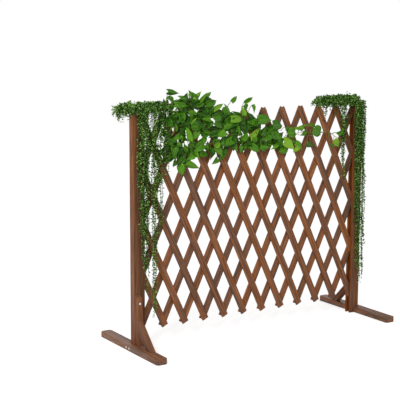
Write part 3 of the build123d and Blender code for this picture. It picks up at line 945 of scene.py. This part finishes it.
main_stems = [
    [(-0.40, 0.86), (-0.33, 0.80), (-0.25, 0.82), (-0.16, 0.79), (-0.06, 0.80), (0.04, 0.785),
     (0.14, 0.77), (0.22, 0.79), (0.31, 0.785), (0.40, 0.775), (0.44, 0.79)],
    [(-0.39, 0.74), (-0.30, 0.76), (-0.21, 0.77), (-0.12, 0.80), (-0.02, 0.765), (0.08, 0.76),
     (0.17, 0.785), (0.26, 0.775), (0.35, 0.79), (0.425, 0.755)],
    [(-0.41, 0.93), (-0.33, 0.90), (-0.26, 0.93), (-0.18, 0.89), (-0.10, 0.88), (-0.02, 0.86),
     (0.05, 0.83), (0.12, 0.80)],
]


def smooth_line(places, depth, step=0.012):
    """A gently waving stem through places on the front of the lattice."""
    xs = np.array([p[0] for p in places])
    zs = np.array([p[1] for p in places])
    fine = np.linspace(xs[0], xs[-1], int((xs[-1] - xs[0]) / step))
    line = []
    for x in fine:
        weight = np.exp(-((xs - x) / 0.045) ** 2)
        line.append((x, depth - 0.004 * sin(x * 60), float((weight * zs).sum() / weight.sum())))
    return line


stem_lines = [smooth_line(s, d) for s, d in zip(main_stems, (-0.0165, -0.020, -0.018))]
stem_points = np.array([p for line in stem_lines for p in line])
ties = [(6, "1", -0.46, -0.205), (8, "2", -0.205, -0.014), (10, "3", -0.014, 0.2005),
        (12, "4", 0.2005, 0.50)]
longest_stalk, stalk_margin, stalk_rise = 0.11, 0.01, 0.006
for slat_number, order, start, end in ties:
    body = f"front_slat_{slat_number:02d}"
    mine = [leaf for leaf in leaves if start <= (leaf[0].x + leaf[1].x) / 2 < end]
    seeds = bpy.data.meshes.new("leaf places")
    seeds.from_pydata([tuple(leaf[0]) for leaf in mine], [], [])
    turns, sizes, kinds, tones, stalks = [], [], [], [], []
    for base, tip, width, tone in mine:
        length = (tip - base).length
        along = (tip - base).normalized()
        outward = Vector((rng.uniform(-0.45, 0.25), -1, rng.uniform(-0.1, 0.5)))
        across = along.cross(outward).normalized()
        face = across.cross(along).normalized()
        turns.append(tuple(Matrix((across, along, face)).transposed().to_euler()))
        sizes.append((width, length, length))
        kinds.append(int(rng.integers(0, len(leaf_kinds))))
        tones.append(tone * 0.8 - 0.03 + rng.uniform(-0.08, 0.08))
        nearest = Vector(stem_points[np.argmin(((stem_points - np.array(base)) ** 2).sum(1))])
        if ((nearest - base).length < longest_stalk
                and start - stalk_margin <= nearest.x <= end + stalk_margin):
            stalk = []
            for t in (0.0, 0.25, 0.5, 0.75, 0.9, 1.0):
                place = nearest.lerp(base + along * 0.002, t)
                place.y = nearest.y + (base.y - nearest.y) * t ** 3
                place.z += stalk_rise * sin(pi * t)
                stalk.append(place)
            stalks.append(stalk)
    for label, kind, values in (("turn", "FLOAT_VECTOR", turns), ("size", "FLOAT_VECTOR", sizes)):
        seeds.attributes.new(label, kind, "POINT").data.foreach_set(
            "vector", np.array(values, np.float32).ravel())
    seeds.attributes.new("kind", "INT", "POINT").data.foreach_set("value", kinds)
    seeds.attributes.new("tone", "FLOAT", "POINT").data.foreach_set("value", tones)
    garland = grow(f"broad_leaves_{order}", garland_tree, seeds,
                   {"Leaves": leaf_shelf, "Leaf": broad_leaf_green})
    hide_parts(f"leaf_garland_{order}")
    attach(garland, body)
    pieces = [[p for p in line if start - 0.001 <= p[0] < end + 0.013] for line in stem_lines]
    stems = grow(f"garland_stems_{order}", stem_tree,
                 strands_mesh([p for p in pieces if len(p) > 1] + stalks),
                 {"Radius": 0.0011, "Sides": 6, "Stem": garland_stem})
    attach(stems, body)
for kind in list(leaf_shelf.objects):
    bpy.data.objects.remove(kind)


# Stage: a matt white floor that keeps the fence's faint shadow and a white surround, as in
# a product photograph, lit by one soft lamp from the left and a weak one from the right.
def seen_by(tree, *kinds):
    """One for the named kinds of ray and nothing for the others."""
    rays = add(tree, "ShaderNodeLightPath").outputs
    seen = rays[kinds[0]]
    for kind in kinds[1:]:
        seen = maths(tree, "MAXIMUM", seen, rays[kind])
    return seen


floor_half, floor_glow, surround_light, surround_seen = 7.0, 0.64, 0.44, 1.0
white, tree, shader = new_material("white floor")
lift = maths(tree, "MULTIPLY", seen_by(tree, "Is Camera Ray", "Is Glossy Ray"), floor_glow)
shader.inputs["Base Color"].default_value = (0.8, 0.8, 0.8, 1)
shader.inputs["Roughness"].default_value = 1.0
shader.inputs["Specular IOR Level"].default_value = 0.0
shader.inputs["Emission Color"].default_value = (1, 1, 1, 1)
tree.links.new(lift, shader.inputs["Emission Strength"])
floor_mesh = bpy.data.meshes.new("floor")
floor_mesh.from_pydata([(x * floor_half, y * floor_half, 0) for x, y in (
    (-1, -1), (1, -1), (1, 1), (-1, 1))], [], [(0, 1, 2, 3)])
floor_mesh.materials.append(white)
floor = bpy.data.objects.new("floor", floor_mesh)
bpy.context.scene.collection.objects.link(floor)

world = bpy.data.worlds.new("studio")
bpy.context.scene.world = world
world.use_nodes = True
tree = world.node_tree
seen = seen_by(tree, "Is Camera Ray", "Is Glossy Ray", "Is Transmission Ray")
backdrop = tree.nodes["Background"]
backdrop.inputs["Color"].default_value = (1, 1, 1, 1)
tree.links.new(ranged(tree, seen, (surround_light, surround_seen)), backdrop.inputs["Strength"])

lattice_middle = Vector((0, 0, 0.45))
for name, place, power, size in (
    ("soft key light", (-3.9, -2.85, 3.0), 114, 1.2),
    ("soft fill light", (3.4, -2.6, 2.2), 12, 2.4),
):
    lamp = bpy.data.lights.new(name, "AREA")
    lamp.energy, lamp.size = power, size
    light = bpy.data.objects.new(name, lamp)
    light.location = place
    light.rotation_mode = "QUATERNION"
    light.rotation_quaternion = (lattice_middle - Vector(place)).to_track_quat("-Z", "Y")
    bpy.context.scene.collection.objects.link(light)

bpy.context.scene.view_settings.view_transform = "Standard"
